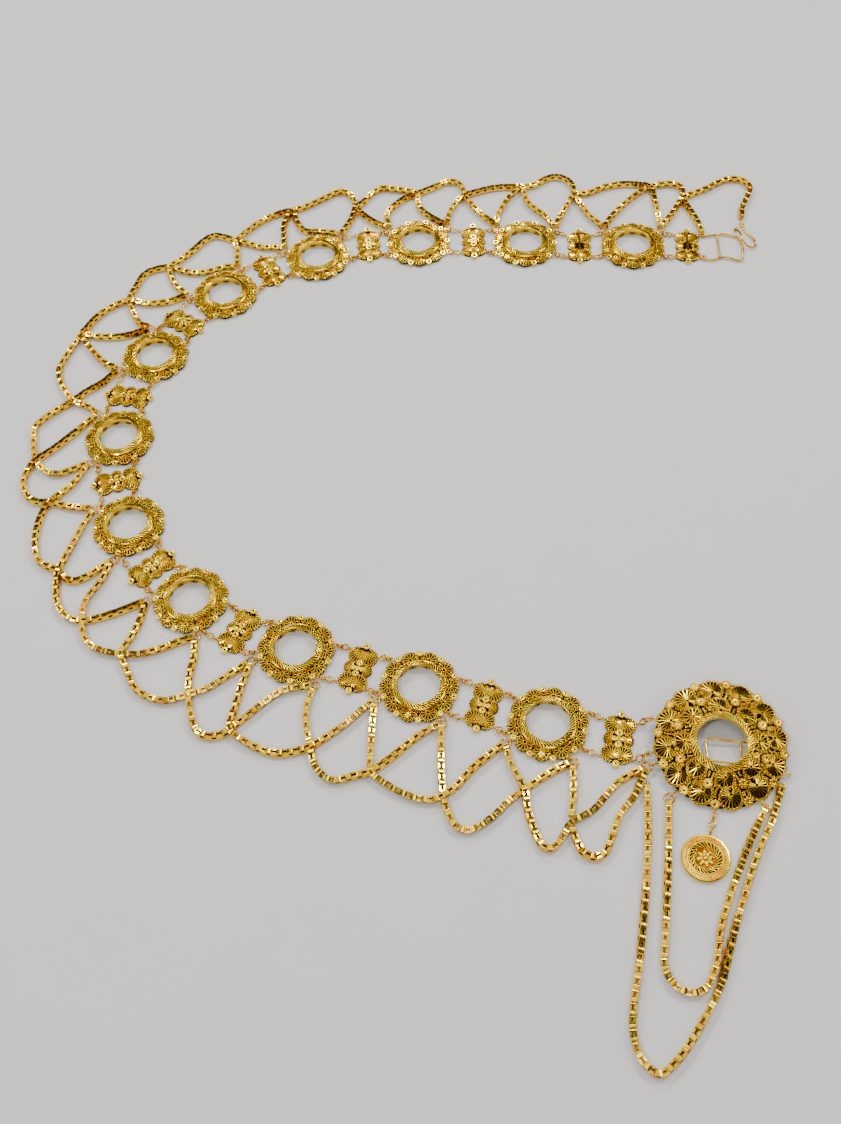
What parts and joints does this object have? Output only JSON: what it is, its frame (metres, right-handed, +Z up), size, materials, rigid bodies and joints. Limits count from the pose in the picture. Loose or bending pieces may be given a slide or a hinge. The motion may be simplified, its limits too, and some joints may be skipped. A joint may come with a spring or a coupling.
{
  "type": "gold belt",
  "caption": "Gold filigree coin belt lying in a C, with link plaques, a domed round buckle, a disc pendant, an end hook and crossing chain swags.",
  "frame": {"origin": "centre of the bottom of the bounding box, on the floor", "axes": "+Z up from the floor, +Y away from the viewer across the C, +X to the right, towards the buckle's and the hook's ends"},
  "size_m": [0.4321, 0.5322, 0.0116],
  "materials": {
    "filigree_gold": "bright filigree, polished edges and dark recesses",
    "chain_gold": "polished box chain links",
    "wire_gold": "polished drawn wire"
  },
  "bodies": {
    "root": {"medallion_01": "filigree_gold", "medallion_02": "filigree_gold", "medallion_03": "filigree_gold", "medallion_04": "filigree_gold", "medallion_05": "filigree_gold", "medallion_06": "filigree_gold", "medallion_07": "filigree_gold", "medallion_08": "filigree_gold", "medallion_09": "filigree_gold", "medallion_10": "filigree_gold", "medallion_11": "filigree_gold", "medallion_12": "filigree_gold", "link_plaque_01": "filigree_gold", "link_plaque_02": "filigree_gold", "link_plaque_03": "filigree_gold", "link_plaque_04": "filigree_gold", "link_plaque_05": "filigree_gold", "link_plaque_06": "filigree_gold", "link_plaque_07": "filigree_gold", "link_plaque_08": "filigree_gold", "link_plaque_09": "filigree_gold", "link_plaque_10": "filigree_gold", "link_plaque_11": "filigree_gold", "link_plaque_12": "filigree_gold", "link_plaque_13": "filigree_gold", "buckle": "filigree_gold", "pendant": "filigree_gold", "festoon_outer": "chain_gold", "festoon_inner": "chain_gold", "swags_01": "chain_gold", "swags_02": "chain_gold", "swags_03": "chain_gold", "swags_04": "chain_gold", "swags_05": "chain_gold", "swags_06": "chain_gold", "swags_07": "chain_gold", "swags_08": "chain_gold", "swags_09": "chain_gold", "swags_10": "chain_gold", "swags_11": "chain_gold", "swags_12": "chain_gold", "swags_13": "chain_gold", "buckle_catch": "wire_gold", "pendant_links": "wire_gold", "end_frame": "wire_gold", "hook": "wire_gold", "joint_rings_inner": "wire_gold", "joint_rings_outer": "wire_gold", "drop_rings": "wire_gold", "end_links": "wire_gold"}
  },
  "joints": []
}
